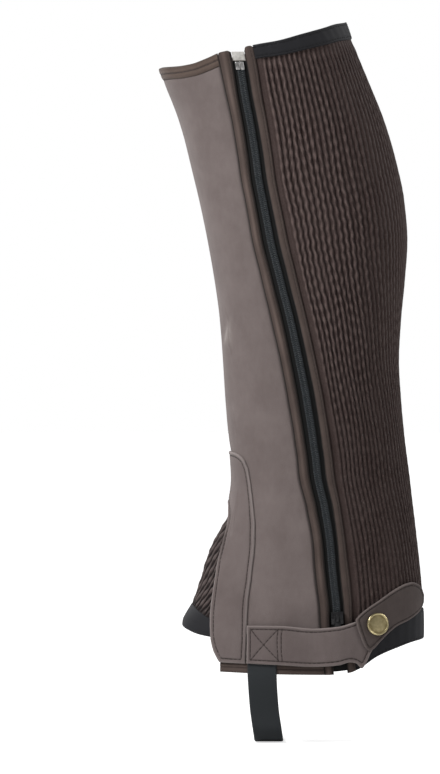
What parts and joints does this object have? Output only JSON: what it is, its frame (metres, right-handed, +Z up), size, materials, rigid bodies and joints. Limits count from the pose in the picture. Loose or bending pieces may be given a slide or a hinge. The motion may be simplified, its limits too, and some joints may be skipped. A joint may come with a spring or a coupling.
{
  "type": "half chap",
  "caption": "Worn half chap for the left leg: suede wrap, long curved zip up the outer side, smocked stretch calf panel, ribbed instep wedge, snapped ankle strap and an elastic under the boot.",
  "frame": {"origin": "middle of the wearer's leg at the fullest part of the calf, where the leg holds the half chap up", "axes": "+Z up the leg, -Y the way the shin and toe face, +X out of the outer side with the zip"},
  "size_m": [0.1096, 0.1845, 0.4981],
  "materials": {
    "suede": "taupe brown nubuck suede with a short nap, lit edges paler",
    "suede_overlay": "taupe brown suede with a stitched edge",
    "binding": "folded dark brown binding tape, stitched along its middle",
    "stretch_ribbed": "dark brown stretch cloth smocked into narrow wavy ribs",
    "elastic_band": "black woven elastic",
    "zip_tape": "black woven zip tape",
    "zip_coil": "black nylon coil teeth",
    "zip_film": "clear film pressed over the tape ends",
    "zip_steel": "bright cast zip end pieces",
    "zip_slider": "black lacquered cast metal",
    "tab_leather": "dark brown leather with a stitched edge",
    "brass": "antique brass snap cap with a bright rim"
  },
  "bodies": {
    "root": {"front_panel": "suede", "ankle_patch": "suede_overlay", "front_top_binding": "binding", "outer_hem_binding": "binding", "inner_hem_binding": "binding", "rear_panel": "stretch_ribbed", "rear_top_band": "elastic_band", "rear_hem_band": "elastic_band", "instep_gusset": "stretch_ribbed", "gusset_hem_band": "elastic_band", "zip_front_binding": "binding", "zip_rear_binding": "binding", "zip_tape_front": "zip_tape", "zip_tape_rear": "zip_tape", "zip_chain": "zip_coil", "zip_film": "zip_film", "zip_box": "zip_steel", "zip_pin": "zip_steel", "zip_slider": "zip_slider", "zip_pull": "zip_slider", "snap_strap": "suede_overlay", "heel_tab": "tab_leather", "snap_cap": "brass", "foot_elastic": "elastic_band"}
  },
  "joints": []
}
